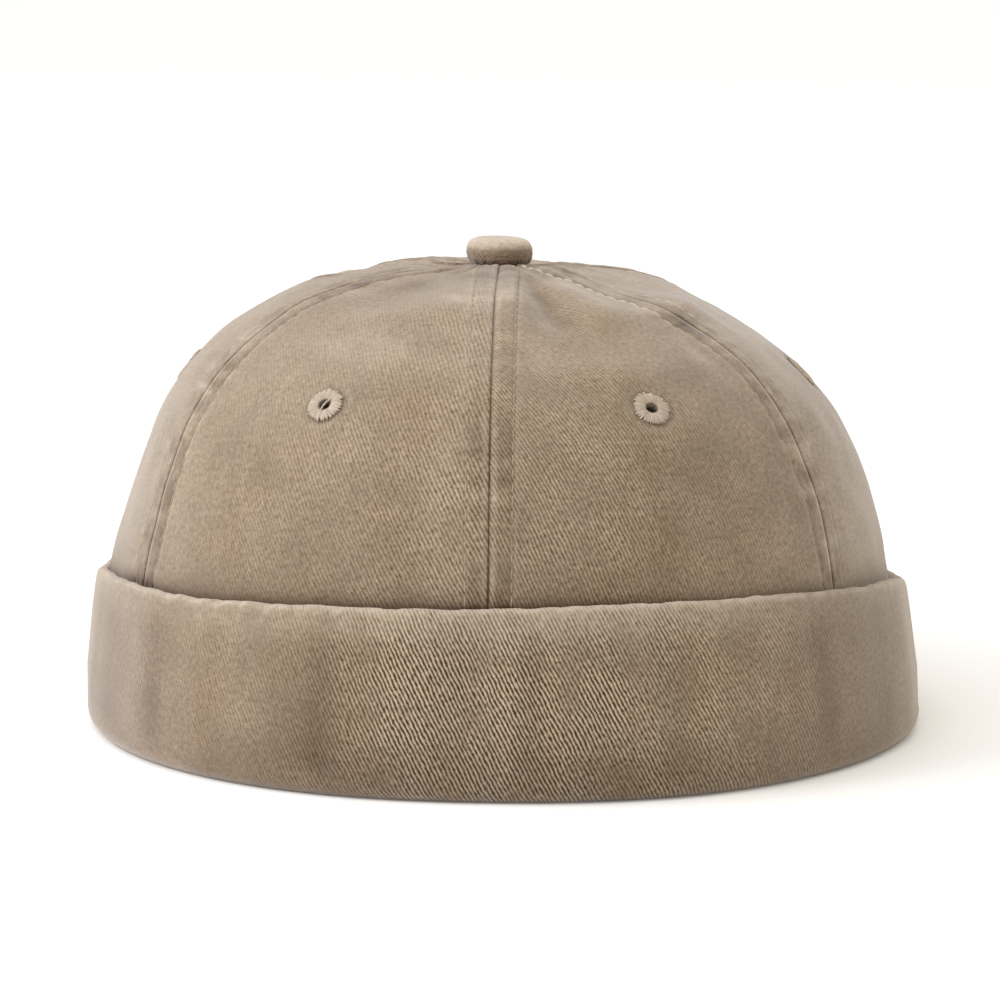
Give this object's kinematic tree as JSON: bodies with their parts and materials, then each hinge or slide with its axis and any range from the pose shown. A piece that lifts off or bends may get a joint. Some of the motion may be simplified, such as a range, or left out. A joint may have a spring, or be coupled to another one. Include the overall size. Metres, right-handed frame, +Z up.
{
  "type": "brimless sailor cap",
  "caption": "Soft round cap with no brim: a domed crown sewn from panels, a covered button on top, sewn eyelets and a deep turned-up cuff, in washed cotton twill.",
  "frame": {"origin": "centre of the cap's footprint, on the surface that its cuff rests on", "axes": "+Z up through the button, -Y towards the front seam, +X towards the wearer's left"},
  "size_m": [0.1903, 0.2006, 0.1089],
  "materials": {
    "cotton_twill": "washed matte twill",
    "eyelet_thread": "matte sewing thread"
  },
  "bodies": {
    "root": {"panel_front_left": "cotton_twill", "eyelet_front_left": "eyelet_thread", "panel_side_left": "cotton_twill", "eyelet_side_left": "eyelet_thread", "panel_back_left": "cotton_twill", "eyelet_back_left": "eyelet_thread", "panel_back_right": "cotton_twill", "eyelet_back_right": "eyelet_thread", "panel_side_right": "cotton_twill", "eyelet_side_right": "eyelet_thread", "panel_front_right": "cotton_twill", "eyelet_front_right": "eyelet_thread", "cuff": "cotton_twill", "button": "cotton_twill"}
  },
  "joints": []
}
